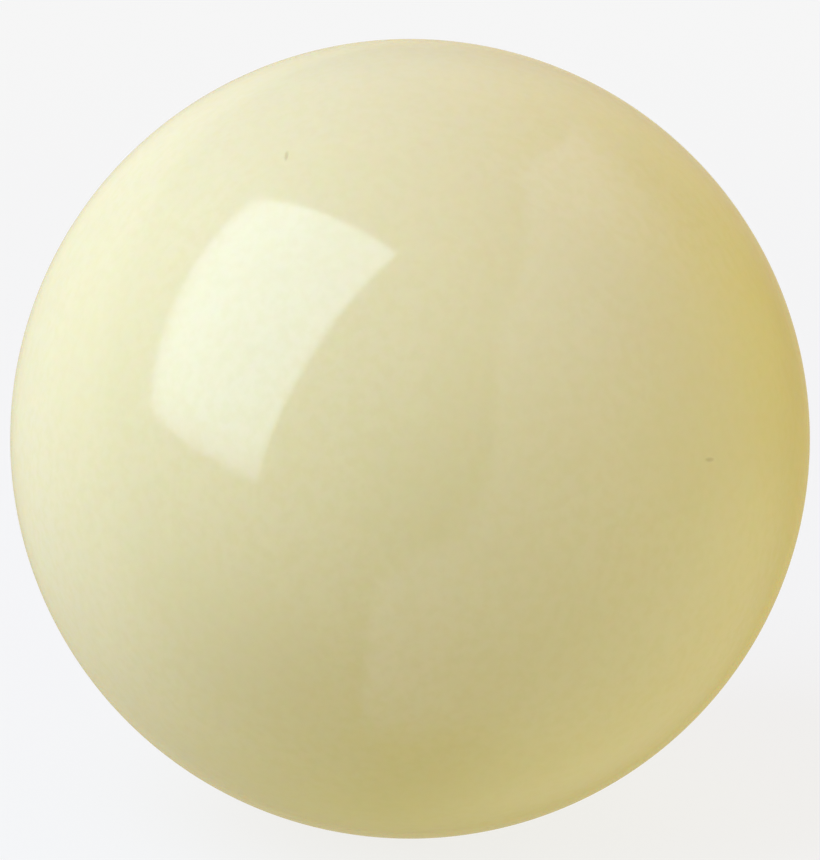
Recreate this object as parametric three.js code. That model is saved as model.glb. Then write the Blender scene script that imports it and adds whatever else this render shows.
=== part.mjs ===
// Pool cue ball for coin-operated tables: a cast resin ball round a steel core, which the magnet in
// the table's ball return pulls out of the line of balls.
//
// The core is a steel ball with a blind seat drilled into each end of one diameter. A pin of the
// ball's own resin stands in each seat and holds the core in the middle of the mould. The resin is
// cast round all three, and the whole ball is then ground and polished, the pins' ends with it.
//
// Millimetres, +Z up. The origin is the centre of the ball, and the two pins lie along X.
import * as THREE from "three";

// Driving dimensions
const BALL_DIAMETER = 57.15; // 2 1/4 in, the size in the rules of pool
const CORE_DIAMETER = 22.225; // 7/8 in, a stock steel ball
const PIN_DIAMETER = 4.8;
const SEAT_DEPTH = 3; // how far each pin stands in the core, from where the core's pole was
const BOND_GAP = 0.05; // clear space between neighbours, where the resin grips

// Two grooves round each pin, which the cast resin fills, so that a hard shot can't start the pin.
const GROOVE_COUNT = 2;
const GROOVE_DEPTH = 0.4;
const GROOVE_FLOOR = 1.2; // width of the flat bottom of a groove
const GROOVE_PITCH = 5;
const FIRST_GROOVE = 4; // from the core's surface to the middle of the first groove

// Facets
const AROUND = 64; // sides of each ball, about the pins' axis
const PIN_SIDES = 32;
const OUTER_STEPS = 32; // along each half circle, from pole to pole
const CORE_STEPS = 14;
const DOME_STEPS = 3; // across half of a pin's polished end

const ballRadius = BALL_DIAMETER / 2;
const coreRadius = CORE_DIAMETER / 2;
const cavityRadius = coreRadius + BOND_GAP;
const pinRadius = PIN_DIAMETER / 2;
const boreRadius = pinRadius + BOND_GAP;
const seatFloor = coreRadius - SEAT_DEPTH; // from the centre of the ball

const IVORY_RESIN = new THREE.MeshStandardMaterial({ color: 0xe6dcb4, roughness: 0.08, metalness: 0 });
const PIN_RESIN = new THREE.MeshStandardMaterial({ color: 0xe9e0bd, roughness: 0.1, metalness: 0 });
const CORE_STEEL = new THREE.MeshStandardMaterial({ color: 0x8f9194, roughness: 0.45, metalness: 1 });

// Profiles are points (distance from the pins' axis, height along it) in the order that puts the
// material on their left: up the outside and down the inside.
const point = (radius, height) => new THREE.Vector2(radius, height);

// The points of a circle about the centre of the ball, from one angle to another, in radians up
// from the lower pole.
function arc(radius, from, to, steps) {
  return Array.from({ length: steps + 1 }, (_, i) => {
    const angle = from + ((to - from) * i) / steps;
    return point(radius * Math.sin(angle), -radius * Math.cos(angle));
  });
}

// The angle from a pole at which a circle of the given radius is this far from the axis.
const angleAt = (distance, radius) => Math.asin(distance / radius);

// The side of a pin or of its bore where the grooves are, from the core outwards.
function groovedSide(radius) {
  return Array.from({ length: GROOVE_COUNT }, (_, i) => {
    const middle = coreRadius + FIRST_GROOVE + i * GROOVE_PITCH;
    const halfFloor = GROOVE_FLOOR / 2;
    const halfMouth = halfFloor + GROOVE_DEPTH; // the groove's flanks lean at 45 degrees
    return [
      point(radius, middle - halfMouth),
      point(radius - GROOVE_DEPTH, middle - halfFloor),
      point(radius - GROOVE_DEPTH, middle + halfFloor),
      point(radius, middle + halfMouth),
    ];
  }).flat();
}

const flipped = (points) => points.map((p) => point(p.x, -p.y));

// The cast resin: the outer sphere, open at the two bores, which lead into the core's cavity.
function resinBodyProfile() {
  const mouth = angleAt(boreRadius, ballRadius);
  const throat = angleAt(boreRadius, cavityRadius);
  const bore = groovedSide(boreRadius);
  const closed = [
    ...arc(ballRadius, mouth, Math.PI - mouth, OUTER_STEPS),
    ...[...bore].reverse(),
    ...arc(cavityRadius, Math.PI - throat, throat, CORE_STEPS),
    ...flipped(bore),
  ];
  return [...closed, closed[0].clone()];
}

function coreProfile() {
  const seatEdge = angleAt(boreRadius, coreRadius);
  return [
    point(0, -seatFloor),
    point(boreRadius, -seatFloor),
    ...arc(coreRadius, seatEdge, Math.PI - seatEdge, CORE_STEPS),
    point(boreRadius, seatFloor),
    point(0, seatFloor),
  ];
}

function pinProfile() {
  const innerEnd = seatFloor + BOND_GAP;
  const mouth = angleAt(pinRadius, ballRadius);
  return [
    point(0, innerEnd),
    point(pinRadius, innerEnd),
    ...groovedSide(pinRadius),
    ...arc(ballRadius, Math.PI - mouth, Math.PI, DOME_STEPS),
  ];
}

// A turned piece whose axis points along +X, or along -X where end is -1.
function turned(name, profile, sides, material, end = 1) {
  const piece = new THREE.Mesh(new THREE.LatheGeometry(profile, sides), material);
  piece.name = name;
  piece.rotation.z = (-end * Math.PI) / 2;
  return piece;
}

const cueBall = new THREE.Group();
cueBall.add(turned("resin_body", resinBodyProfile(), AROUND, IVORY_RESIN));
cueBall.add(turned("steel_core", coreProfile(), AROUND, CORE_STEEL));
for (const [side, end] of [["left", -1], ["right", 1]]) {
  cueBall.add(turned(`locating_pin_${side}`, pinProfile(), PIN_SIDES, PIN_RESIN, end));
}

export default cueBall;
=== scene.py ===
"""The look of a pool cue ball with a steel core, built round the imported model.

Everything is in metres, in the model's own frame: the origin is the centre of the ball, the two
locating pins lie along X, +Z is up, and the camera looks from -Y.

The resin body, the core and the pins are each turned here from a finer outline than the model's. The
polished surface gets a few small nicks, as real dents, and each material gets its colour, gloss and
fine marks from nodes.
"""

import math

import bmesh
import bpy
from mathutils import Matrix, Vector


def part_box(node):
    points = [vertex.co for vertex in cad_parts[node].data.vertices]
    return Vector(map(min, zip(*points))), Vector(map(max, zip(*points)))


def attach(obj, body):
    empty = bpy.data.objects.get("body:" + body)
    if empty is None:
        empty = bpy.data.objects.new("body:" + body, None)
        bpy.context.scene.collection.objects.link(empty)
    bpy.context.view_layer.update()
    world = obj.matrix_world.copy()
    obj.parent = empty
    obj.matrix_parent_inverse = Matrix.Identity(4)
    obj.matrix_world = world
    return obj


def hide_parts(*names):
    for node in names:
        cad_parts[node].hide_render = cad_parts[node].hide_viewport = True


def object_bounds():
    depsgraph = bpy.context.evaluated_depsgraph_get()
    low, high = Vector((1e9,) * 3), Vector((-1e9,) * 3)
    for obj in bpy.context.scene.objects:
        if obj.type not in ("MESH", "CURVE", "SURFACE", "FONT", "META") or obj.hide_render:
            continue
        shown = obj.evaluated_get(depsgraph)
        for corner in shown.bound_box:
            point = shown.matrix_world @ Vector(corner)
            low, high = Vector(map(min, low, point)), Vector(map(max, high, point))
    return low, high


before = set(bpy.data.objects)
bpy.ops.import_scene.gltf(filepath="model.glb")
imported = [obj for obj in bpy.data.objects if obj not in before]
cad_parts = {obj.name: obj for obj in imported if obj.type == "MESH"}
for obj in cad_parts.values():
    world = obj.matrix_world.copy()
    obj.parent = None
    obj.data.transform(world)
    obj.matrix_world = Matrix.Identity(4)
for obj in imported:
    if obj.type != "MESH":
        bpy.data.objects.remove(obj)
cad_low, cad_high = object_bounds()

MM = 0.001

# ---------------------------------------------------------------- sizes

core_low, core_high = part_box("steel_core")
pin_low, pin_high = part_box("locating_pin_right")

BALL_RADIUS = (cad_high.x - cad_low.x) / 2
CORE_RADIUS = (core_high.y - core_low.y) / 2
PIN_RADIUS = (pin_high.y - pin_low.y) / 2
PIN_INNER_END = pin_low.x

BOND = 0.01 * MM  # the resin, the pins and the core all but touch
EDGE = 0.03 * MM  # chamfer where a pin's polished end meets the resin body
SEAT_CLEARANCE = 0.05 * MM  # under a pin's inner end
SEAT_CHAMFER = 0.3 * MM  # round the mouth of each seat in the core
PIN_CHAMFER = 0.3 * MM  # round each pin's inner end
BORE_RADIUS = PIN_RADIUS + BOND
SEAT_FLOOR = PIN_INNER_END - SEAT_CLEARANCE

# Two grooves round each pin, which the cast resin fills
GROOVE_MIDDLES = (4 * MM, 9 * MM)  # out from the core's surface
GROOVE_DEPTH = 0.4 * MM
GROOVE_HALF_FLOOR = 0.6 * MM

# Facets
BALL_SIDES = 256
BALL_STEPS = 160
CORE_STEPS = 48
PIN_SIDES = 96
DOME_STEPS = 8

# Nicks in the polish: (degrees right of the front, degrees up, length, width, depth, turn in degrees)
NICKS = (
    (-32.4, 56.3, 0.74 * MM, 0.22 * MM, 0.045 * MM, 33),
    (46.7, 7.5, 0.74 * MM, 0.24 * MM, 0.040 * MM, 131),
    (112, 31, 0.50 * MM, 0.16 * MM, 0.040 * MM, 130),
    (163, -14, 0.30 * MM, 0.24 * MM, 0.050 * MM, 0),
    (-141, 22, 0.38 * MM, 0.18 * MM, 0.045 * MM, 55),
    (-104, -33, 0.46 * MM, 0.15 * MM, 0.035 * MM, 100),
    (-171, 63, 0.30 * MM, 0.20 * MM, 0.045 * MM, 30),
    (74, -48, 0.34 * MM, 0.20 * MM, 0.045 * MM, 160),
)
NICK_PATCH = 0.9 * MM  # how far round a nick the faces are made finer
NICK_CUTS = 9
LIP_HEIGHT = 0.35  # of the nick's depth
LIP_PLACE = 1.7  # out from the nick's middle, where 1 is half its length or width
LIP_SHARPNESS = 4
PAINTED_SHADE_REACH = 1.2  # how far the painted shade round a nick reaches, measured like LIP_PLACE

# ---------------------------------------------------------------- turned pieces


def arc(radius, start, end, steps):
    """Points (x, distance from the axis) of a circle about the ball's centre. The +X pole is at 0."""
    angles = [start + (end - start) * i / steps for i in range(steps + 1)]
    return [(radius * math.cos(a), radius * math.sin(a)) for a in angles]


def on_sphere(radius, distance):
    """The point of that sphere at that distance from the axis, on the +X side."""
    return (math.sqrt(radius**2 - distance**2), distance)


def pole_angle(radius, distance):
    """How far from the +X pole that point is, in radians."""
    return math.asin(distance / radius)


def mirrored(outline):
    """The same outline at the -X end, in the order that carries on from the first."""
    return [(-x, r) for x, r in reversed(outline)]


def grooved(radius):
    """The grooved side of a pin, or of its bore, from the core outwards."""
    points = []
    for middle in GROOVE_MIDDLES:
        x = CORE_RADIUS + middle
        points += [
            (x - GROOVE_HALF_FLOOR - GROOVE_DEPTH, radius),
            (x - GROOVE_HALF_FLOOR, radius - GROOVE_DEPTH),
            (x + GROOVE_HALF_FLOOR, radius - GROOVE_DEPTH),
            (x + GROOVE_HALF_FLOOR + GROOVE_DEPTH, radius),
        ]
    return points


def turned(outline, sides, ring=False):
    """A bmesh turned about X from points (x, distance from the axis). It starts and ends on the
    axis, or closes on itself where ring is true."""
    made = bmesh.new()
    hoops = []
    for x, r in outline:
        turns = [2 * math.pi * k / sides for k in range(sides)] if r > 0 else [0]
        hoops.append([made.verts.new((x, r * math.cos(t), r * math.sin(t))) for t in turns])
    pairs = list(zip(hoops, hoops[1:]))
    if ring:
        pairs.append((hoops[-1], hoops[0]))
    for near, far in pairs:
        for k in range(sides):
            if len(near) == 1:
                made.faces.new((near[0], far[k], far[k - 1]))
            elif len(far) == 1:
                made.faces.new((near[k - 1], near[k], far[0]))
            else:
                made.faces.new((near[k - 1], near[k], far[k], far[k - 1]))
    bmesh.ops.recalc_face_normals(made, faces=made.faces)
    return made


def piece(name, made, material, node):
    """Makes an object of that bmesh, which stands for a node of the model."""
    mesh = bpy.data.meshes.new(name)
    made.to_mesh(mesh)
    made.free()
    obj = bpy.data.objects.new(name, mesh)
    bpy.context.collection.objects.link(obj)
    mesh.shade_smooth()
    mesh.materials.append(material)
    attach(obj, "root")
    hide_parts(node)


def body_outline():
    """The polished sphere, the two bores and the core's cavity, in one closed outline."""
    mouth = BORE_RADIUS + EDGE
    cavity = CORE_RADIUS + BOND
    throat = BORE_RADIUS + SEAT_CHAMFER
    bore = [
        (on_sphere(CORE_RADIUS, throat)[0] - SEAT_CHAMFER + BOND, BORE_RADIUS),
        *grooved(BORE_RADIUS),
        (on_sphere(BALL_RADIUS, mouth)[0] - EDGE, BORE_RADIUS),
    ]
    outer_start = pole_angle(BALL_RADIUS, mouth)
    inner_start = pole_angle(cavity, throat)
    return [
        *arc(BALL_RADIUS, outer_start, math.pi - outer_start, BALL_STEPS),
        *[(-x, r) for x, r in reversed(bore)],
        *arc(cavity, math.pi - inner_start, inner_start, CORE_STEPS),
        *bore,
    ]


def core_outline():
    """A steel ball with a flat-bottomed seat at each end."""
    seat = BORE_RADIUS
    mouth = seat + SEAT_CHAMFER
    start = pole_angle(CORE_RADIUS, mouth)
    end = [
        (SEAT_FLOOR, 0),
        (SEAT_FLOOR, seat),
        (on_sphere(CORE_RADIUS, mouth)[0] - SEAT_CHAMFER, seat),
    ]
    return [*end, *arc(CORE_RADIUS, start, math.pi - start, CORE_STEPS), *mirrored(end)]


def pin_outline():
    """A grooved pin whose outer end is part of the ball's surface."""
    rim = PIN_RADIUS - EDGE
    return [
        (PIN_INNER_END, 0),
        (PIN_INNER_END, PIN_RADIUS - PIN_CHAMFER),
        (PIN_INNER_END + PIN_CHAMFER, PIN_RADIUS),
        *grooved(PIN_RADIUS),
        (on_sphere(BALL_RADIUS, rim)[0] - EDGE, PIN_RADIUS),
        *arc(BALL_RADIUS, pole_angle(BALL_RADIUS, rim), 0, DOME_STEPS)[:-1],
        (BALL_RADIUS, 0),
    ]


# ---------------------------------------------------------------- nicks in the polish


def direction(right, up):
    """The way out from the ball's centre, in degrees right of the front and up."""
    round_z, rise = math.radians(right), math.radians(up)
    level = math.cos(rise)
    return Vector((math.sin(round_z) * level, -math.cos(round_z) * level, math.sin(rise)))


def nick(made, right, up, length, width, depth, turn):
    """Presses one small oval dent, with a low lip, into the outer surface of the resin body, and
    marks its hollow for painted shade."""
    out = direction(right, up)
    centre = out * BALL_RADIUS
    along = out.orthogonal().normalized()
    along.rotate(Matrix.Rotation(math.radians(turn), 3, out))
    across = out.cross(along)
    edges = [
        e
        for e in made.edges
        if ((e.verts[0].co + e.verts[1].co) / 2 - centre).length < NICK_PATCH
    ]
    bmesh.ops.subdivide_edges(made, edges=edges, cuts=NICK_CUTS, use_grid_fill=True)
    # This layer marks painted shade: full in the dent's hollow, where the resin's colour is drawn darker
    nick_shade = made.verts.layers.float.get("nick_shade") or made.verts.layers.float.new("nick_shade")
    for v in made.verts:
        away = v.co - centre
        if away.length > 2 * NICK_PATCH:
            continue
        oval = math.hypot(away.dot(along) / (length / 2), away.dot(across) / (width / 2))
        lip = LIP_HEIGHT * math.exp(-((oval - LIP_PLACE) ** 2) * LIP_SHARPNESS)
        dent = math.exp(-(oval**2)) - lip
        v.co = v.co.normalized() * (BALL_RADIUS - depth * dent)
        v[nick_shade] = max(v[nick_shade], math.exp(-((oval / PAINTED_SHADE_REACH) ** 4)))


# ---------------------------------------------------------------- materials


class Nodes:
    """The node tree of a material, a lamp or the world, with short calls for the nodes used here.
    Where a call takes a value, that is a number, a colour or another node's output."""

    def __init__(self, owner):
        owner.use_nodes = True
        self.tree = owner.node_tree

    def add(self, kind, **settings):
        node = self.tree.nodes.new(kind)
        for key, value in settings.items():
            setattr(node, key, value)
        return node

    def join(self, source, target):
        self.tree.links.new(source, target)

    def feed(self, socket, value):
        if isinstance(value, bpy.types.NodeSocket):
            self.join(value, socket)
        elif socket.type == "RGBA":
            socket.default_value = (*value, 1)
        else:
            socket.default_value = value

    def place(self, kind="Object"):
        """Where the point is: in the object's own frame, or the way to it in the world's tree."""
        return self.add("ShaderNodeTexCoord").outputs[kind]

    def noise(self, size, detail=2.0, distortion=0.0, stretch=(1, 1, 1), turn=(0, 0, 0)):
        """Smooth noise about 0.5, with features of about that size in metres, before any stretch."""
        mapping = self.add("ShaderNodeMapping")
        mapping.inputs["Rotation"].default_value = turn
        mapping.inputs["Scale"].default_value = stretch
        self.join(self.place(), mapping.inputs["Vector"])
        node = self.add("ShaderNodeTexNoise")
        node.inputs["Scale"].default_value = 1 / size
        node.inputs["Detail"].default_value = detail
        node.inputs["Distortion"].default_value = distortion
        self.join(mapping.outputs["Vector"], node.inputs["Vector"])
        return node.outputs["Fac"]

    def fit(self, value, low, high, to_low=0.0, to_high=1.0):
        """That value with low to high stretched to another range, smoothly and held inside it."""
        node = self.add("ShaderNodeMapRange", interpolation_type="SMOOTHSTEP")
        for key, number in (("From Min", low), ("From Max", high), ("To Min", to_low), ("To Max", to_high)):
            node.inputs[key].default_value = number
        self.join(value, node.inputs["Value"])
        return node.outputs["Result"]

    def work_out(self, kind, operation, a, b):
        """The outputs of a new math node of that kind."""
        node = self.add(kind, operation=operation)
        self.feed(node.inputs[0], a)
        self.feed(node.inputs[1], b)
        return node.outputs

    def math(self, operation, a, b):
        return self.work_out("ShaderNodeMath", operation, a, b)["Value"]

    def vector_math(self, operation, a, b):
        return self.work_out("ShaderNodeVectorMath", operation, a, b)["Vector"]

    def dot(self, a, b):
        return self.work_out("ShaderNodeVectorMath", "DOT_PRODUCT", a, b)["Value"]

    def mix(self, amount, a, b):
        """Colour a where amount is 0, b where it is 1."""
        node = self.add("ShaderNodeMix", data_type="RGBA")
        self.join(amount, node.inputs["Factor"])
        self.feed(node.inputs[6], a)
        self.feed(node.inputs[7], b)
        return node.outputs[2]


class Material(Nodes):
    """A material with the usual shader, whose inputs are set by name."""

    def __init__(self, name):
        self.material = bpy.data.materials.new(name)
        super().__init__(self.material)
        self.inputs = self.tree.nodes["Principled BSDF"].inputs

    def bump(self, height, strength, distance, invert=False):
        node = self.add("ShaderNodeBump", invert=invert)
        node.inputs["Strength"].default_value = strength
        node.inputs["Distance"].default_value = distance
        self.join(height, node.inputs["Height"])
        self.join(node.outputs["Normal"], self.inputs["Normal"])


# The resins' colours: most of it, its clouds, and its fine flecks
IVORY = ((0.825, 0.745, 0.445), (0.815, 0.735, 0.425), (0.805, 0.727, 0.40))
PIN_IVORY = ((0.855, 0.78, 0.495), (0.845, 0.77, 0.475), (0.835, 0.762, 0.45))
PAINTED_NICK_SHADE = (0.70, 0.62, 0.34)  # painted shade: the darker colour drawn into the nicks
HAIRLINE_TURNS = ((0.3, 0.2, 0.9), (1.1, 0.7, 0.2), (0.5, 1.4, 2.0))  # three ways that hairlines run
SUBSURFACE_DEPTH = 1.2 * MM


def resin(name, pale, cloud, fleck):
    """Cast resin: cloudy ivory, faintly mottled, polished, with hairline marks in the polish."""
    n = Material(name)
    clouds = n.fit(n.noise(14 * MM, detail=3, distortion=0.8), 0.3, 0.7)
    colour = n.mix(clouds, pale, cloud)
    mottle = n.fit(n.noise(0.8 * MM, detail=5), 0.35, 0.7)
    colour = n.mix(mottle, colour, fleck)
    # Painted shade: in each nick the colour is drawn towards the darker nick colour
    nick_shade = n.add("ShaderNodeAttribute", attribute_name="nick_shade")
    colour = n.mix(nick_shade.outputs["Fac"], colour, PAINTED_NICK_SHADE)
    n.join(colour, n.inputs["Base Color"])

    hairlines = 0.0
    for turn in HAIRLINE_TURNS:
        streaks = n.noise(0.3 * MM, detail=1, stretch=(0.02, 1, 1), turn=turn)
        hairlines = n.math("MAXIMUM", hairlines, n.fit(streaks, 0.72, 0.76))
    hairlines = n.math("MULTIPLY", hairlines, n.fit(n.noise(6 * MM), 0.5, 0.65))
    smears = n.fit(n.noise(9 * MM, detail=4, distortion=1.5), 0.4, 0.75, 0.085, 0.12)
    n.join(n.math("ADD", smears, n.math("MULTIPLY", hairlines, 0.12)), n.inputs["Roughness"])
    n.bump(hairlines, strength=0.05, distance=0.01 * MM, invert=True)

    n.inputs["IOR"].default_value = 1.55
    n.inputs["Subsurface Weight"].default_value = 1.0
    n.inputs["Subsurface Radius"].default_value = (1.0, 0.7, 0.35)
    n.inputs["Subsurface Scale"].default_value = SUBSURFACE_DEPTH
    return n.material


def core_steel():
    """Turned steel: fine rings about the X axis, dull patches and a trace of brown."""
    n = Material("core_steel")
    rings = n.noise(0.12 * MM, detail=3, stretch=(1, 0.02, 0.02))
    patches = n.fit(n.noise(3 * MM, detail=4), 0.45, 0.75)
    n.join(n.mix(patches, (0.47, 0.47, 0.48), (0.30, 0.27, 0.24)), n.inputs["Base Color"])
    worn = n.math("ADD", n.fit(rings, 0.3, 0.7, 0.28, 0.42), n.math("MULTIPLY", patches, 0.2))
    n.join(worn, n.inputs["Roughness"])
    n.bump(rings, strength=0.3, distance=0.02 * MM)
    n.inputs["Metallic"].default_value = 1.0
    return n.material


# ---------------------------------------------------------------- the ball


def build_ball():
    ivory = resin("ivory_resin", *IVORY)
    pale_ivory = resin("pin_resin", *PIN_IVORY)
    body = turned(body_outline(), BALL_SIDES, ring=True)
    for each in NICKS:
        nick(body, *each)
    piece("cue_ball_body", body, ivory, "resin_body")
    core = turned(core_outline(), PIN_SIDES)
    piece("cue_ball_core", core, core_steel(), "steel_core")
    for side, end in (("left", -1), ("right", 1)):
        pin = turned([(end * x, r) for x, r in pin_outline()], PIN_SIDES)
        piece(f"pin_{side}", pin, pale_ivory, f"locating_pin_{side}")


build_ball()

# ---------------------------------------------------------------- camera

CAMERA_UP = 15  # degrees above the horizon
CAMERA_DISTANCE = 500 * MM
BALL_SHARE = 0.93  # of the frame's height
BALL_DROP = 0.0102  # how far the ball sits below the frame's middle, of the frame's height

toward_camera = direction(0, CAMERA_UP)
camera_up = direction(180, 90 - CAMERA_UP)
half_angle = math.asin(BALL_RADIUS / CAMERA_DISTANCE)
frame_half = math.tan(half_angle) / BALL_SHARE  # half the frame's height, at a distance of 1

scene = bpy.context.scene

camera = bpy.data.objects.new("camera", bpy.data.cameras.new("camera"))
bpy.context.collection.objects.link(camera)
scene.camera = camera
camera.data.lens = camera.data.sensor_width / 2 / frame_half  # the frame's height is its longer side
camera.location = toward_camera * CAMERA_DISTANCE
aim = camera_up * (2 * frame_half * BALL_DROP * CAMERA_DISTANCE)
camera.rotation_mode = "QUATERNION"
camera.rotation_quaternion = (aim - camera.location).to_track_quat("-Z", "Y")
camera.data.clip_start = 10 * MM
camera.data.clip_end = 50

# ---------------------------------------------------------------- floor and light

scene.view_settings.view_transform = "Standard"

PALE = (0.92, 0.92, 0.92)
BLACK = (0.0, 0.0, 0.0)
FLOOR_RADIUS = 4
FLOOR_SIDES = 128
FLOOR_LIT = 0.15  # how much of the floor's brightness near the ball is light that falls on it
FLOOR_NEAR, FLOOR_FAR = 0.06, 0.30  # where that share starts to fade, and where it is gone

# The softbox whose reflection is the bright window on the ball's left shoulder. It is brightest over
# most of its face and falls off towards its right-hand side and its foot, as seen from the ball.
# Its place, aim, roll, size and colours were solved to match the photo, and rounded.
SOFTBOX_PLACE = (-0.39, -0.16, 0.28)
SOFTBOX_TARGET = (-0.25, 0.10, 0.01)
SOFTBOX_ROLL = -19.5  # degrees about its own aim
SOFTBOX_SIZE = (0.48, 0.64)
SOFTBOX_POWER = 10
SOFTBOX_CORE = (0.21, 0.28, 0.36)  # the colour of most of its face
SOFTBOX_EDGE = (0.14, 0.15, 0.23)  # the colour that it falls off to
SOFTBOX_SIDE_FADE = 0.25  # of its width
SOFTBOX_FOOT_FADE = 0.22  # of its height

# The room as patches of light on a sphere round the ball. Each has its colour and one or more fades:
# a middle, in degrees right of the front and up, and the angles from there within which the patch is
# full and beyond which it is gone. A solver matched the colours to the photo, and they were then
# rounded. A search, scored against the photo, picked nine of the patches.
ROOM = (
    ("ceiling", (0.0, 0.0, 0.35), ((0, 90, 0, 90),)),
    ("ceiling right", (0.6, 0.4, 0.1), ((90, 45, 0, 90),)),
    ("left wall", (0.35, 0.35, 0.35), ((-90, 0, 0, 90),)),
    ("left wall far", (0.4, 0.4, 0.3), ((-135, 0, 0, 90),)),
    ("right wall near", (0.05, 0.3, 0.35), ((45, 0, 0, 90),)),
    ("front wall", (0.3, 0.15, 0.05), ((0, 0, 0, 90),)),
    ("table right", (0.45, 0.35, 0.1), ((90, -45, 0, 90),)),
    ("table far right", (0.45, 0.4, 0.45), ((111, -47, 0, 45),)),
    ("table middle", (0.25, 0.3, 0.15), ((180, -80, 0, 45),)),
    ("back high", (0.25, 0.25, 0.25), ((180, 20, 0, 40),)),
    ("back right high", (0.25, 0.3, 0.0), ((132, 31, 0, 45),)),
    ("behind", (0.15, 0.1, 0.0), ((180, -15, 0, 40),)),
    ("behind right", (0.1, 0.05, 0.0), ((160, -4, 0, 30),)),
    ("behind low", (0.05, 0.05, 0.05), ((170, -32, 0, 35),)),
    ("left side", (0.0, 0.0, 0.1), ((-114, -6, 0, 45),)),
    ("window wall", (0.25, 0.25, 0.25), ((-141, -20, 46, 48.5), (-120, 8, 30, 70))),
)

# A pale curtain on the right, whose edge shows as a faint line in the polish. Each row has three
# places, in degrees right of the front and up, and how bright the curtain is at each. A script worked
# out where the first nine rows start, from points along that edge in the photo.
CURTAIN = (
    ((144, 43, 1.0), (150, 38, 0.5), (155, 30, 0.0)),
    ((120, 63, 1.0), (125, 45, 1.0), (135, 30, 0.0)),
    ((57, 56, 1.0), (90, 45, 1.0), (125, 25, 0.0)),
    ((30, 39, 1.0), (70, 37, 1.0), (120, 20, 0.0)),
    ((26, 19, 1.0), (60, 19, 1.0), (120, 12, 0.0)),
    ((22, 3, 1.0), (60, 5, 1.0), (120, 3, 0.0)),
    ((15, -11, 1.0), (60, -12, 1.0), (120, -10, 0.0)),
    ((-10, -25, 1.0), (50, -35, 1.0), (120, -25, 0.0)),
    ((-21, -61, 1.0), (50, -60, 0.7), (120, -50, 0.0)),
    ((-45, -78, 0.0), (50, -80, 0.0), (120, -70, 0.0)),
)
CURTAIN_COLOUR = (0.47, 0.47, 0.70)
CURTAIN_DISTANCE = 3


def softbox():
    """A soft panel that the camera doesn't see."""
    lamp = bpy.data.lights.new("softbox", "AREA")
    lamp.shape = "RECTANGLE"
    lamp.size, lamp.size_y = SOFTBOX_SIZE
    lamp.energy = SOFTBOX_POWER
    n = Nodes(lamp)
    across = n.add("ShaderNodeSeparateXYZ")
    n.join(n.add("ShaderNodeNewGeometry").outputs["Parametric"], across.inputs[0])
    side = n.fit(across.outputs["X"], 0, SOFTBOX_SIDE_FADE)
    foot = n.fit(across.outputs["Y"], 0, SOFTBOX_FOOT_FADE)
    colour = n.mix(n.math("MULTIPLY", side, foot), SOFTBOX_EDGE, SOFTBOX_CORE)
    n.join(colour, n.tree.nodes["Emission"].inputs["Color"])
    obj = bpy.data.objects.new("softbox", lamp)
    bpy.context.collection.objects.link(obj)
    obj.location = SOFTBOX_PLACE
    obj.rotation_mode = "QUATERNION"
    facing = (Vector(SOFTBOX_TARGET) - obj.location).to_track_quat("-Z", "Y")
    roll = Matrix.Rotation(math.radians(SOFTBOX_ROLL), 3, "Z").to_quaternion()
    obj.rotation_quaternion = facing @ roll
    obj.visible_camera = False


def light_room():
    """Lights the scene with the room, and shows the camera only a pale background."""
    world = bpy.data.worlds.new("studio")
    scene.world = world
    n = Nodes(world)
    way = n.place("Generated")
    total = (0.0, 0.0, 0.0)
    for _, patch, fades in ROOM:
        for right, up, full, gone in fades:
            near = n.dot(way, direction(right, up))
            fade = n.fit(near, math.cos(math.radians(gone)), math.cos(math.radians(full)))
            patch = n.vector_math("MULTIPLY", patch, fade)
        total = n.vector_math("ADD", total, patch)
    seen = n.add("ShaderNodeLightPath").outputs["Is Camera Ray"]
    n.join(n.mix(seen, total, PALE), n.tree.nodes["Background"].inputs["Color"])


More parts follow.
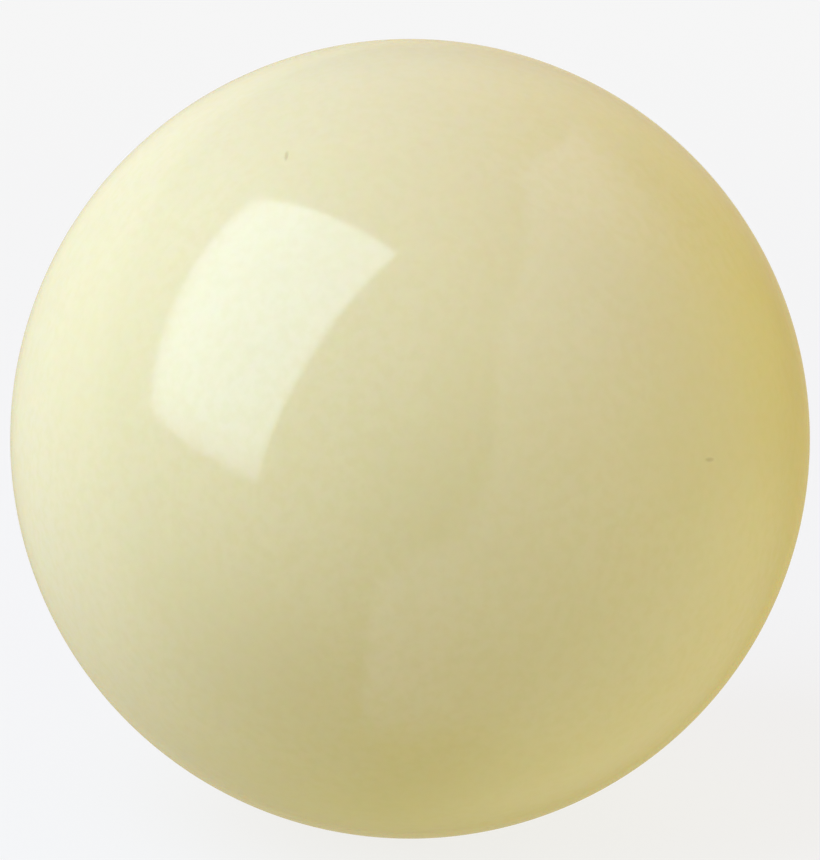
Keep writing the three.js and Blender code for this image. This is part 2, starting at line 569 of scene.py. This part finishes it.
def hang_curtain():
    """A glow that only the ball's reflections show, bright at one edge and fading to the other."""
    made = bmesh.new()
    shine = made.verts.layers.float_color.new("glow")
    rows = []
    for row in CURTAIN:
        verts = []
        for right, up, brightness in row:
            vert = made.verts.new(direction(right, up) * CURTAIN_DISTANCE)
            vert[shine] = (brightness, brightness, brightness, 1)
            verts.append(vert)
        rows.append(verts)
    for above, below in zip(rows, rows[1:]):
        for k in range(len(above) - 1):
            made.faces.new((above[k], above[k + 1], below[k + 1], below[k]))
    mesh = bpy.data.meshes.new("curtain")
    made.to_mesh(mesh)
    made.free()
    curtain = bpy.data.objects.new("curtain", mesh)
    bpy.context.collection.objects.link(curtain)
    curtain.visible_camera = curtain.visible_diffuse = curtain.visible_shadow = False
    material = bpy.data.materials.new("curtain")
    material.cycles.emission_sampling = "NONE"
    n = Nodes(material)
    light = n.add("ShaderNodeEmission")
    light.inputs["Color"].default_value = (*CURTAIN_COLOUR, 1)
    glow = n.add("ShaderNodeAttribute", attribute_name="glow")
    n.join(glow.outputs["Fac"], light.inputs["Strength"])
    both = n.add("ShaderNodeAddShader")
    n.join(light.outputs[0], both.inputs[0])
    n.join(n.add("ShaderNodeBsdfTransparent").outputs[0], both.inputs[1])
    n.join(both.outputs[0], n.tree.nodes["Material Output"].inputs["Surface"])
    mesh.materials.append(material)


def lay_floor():
    """A pale floor that the ball stands on. Round the ball it takes some shadow, and further out it
    turns into the background. The ball's own light comes from the room's table."""
    made = bmesh.new()
    bmesh.ops.create_circle(made, cap_ends=True, radius=FLOOR_RADIUS, segments=FLOOR_SIDES)
    mesh = bpy.data.meshes.new("floor")
    made.to_mesh(mesh)
    made.free()
    floor = bpy.data.objects.new("floor", mesh)
    bpy.context.collection.objects.link(floor)
    floor.location.z = -BALL_RADIUS
    floor.visible_diffuse = floor.visible_glossy = floor.visible_shadow = False
    n = Material("floor")
    away = n.add("ShaderNodeVectorMath", operation="LENGTH")
    n.join(n.place(), away.inputs[0])
    lit = n.fit(away.outputs["Value"], FLOOR_NEAR, FLOOR_FAR, FLOOR_LIT, 0.0)
    n.join(n.mix(lit, BLACK, PALE), n.inputs["Base Color"])
    n.join(n.math("SUBTRACT", 1.0, lit), n.inputs["Emission Strength"])
    n.inputs["Emission Color"].default_value = (*PALE, 1)
    n.inputs["Roughness"].default_value = 1.0
    n.inputs["Specular IOR Level"].default_value = 0.0
    mesh.materials.append(n.material)


softbox()
light_room()
hang_curtain()
lay_floor()
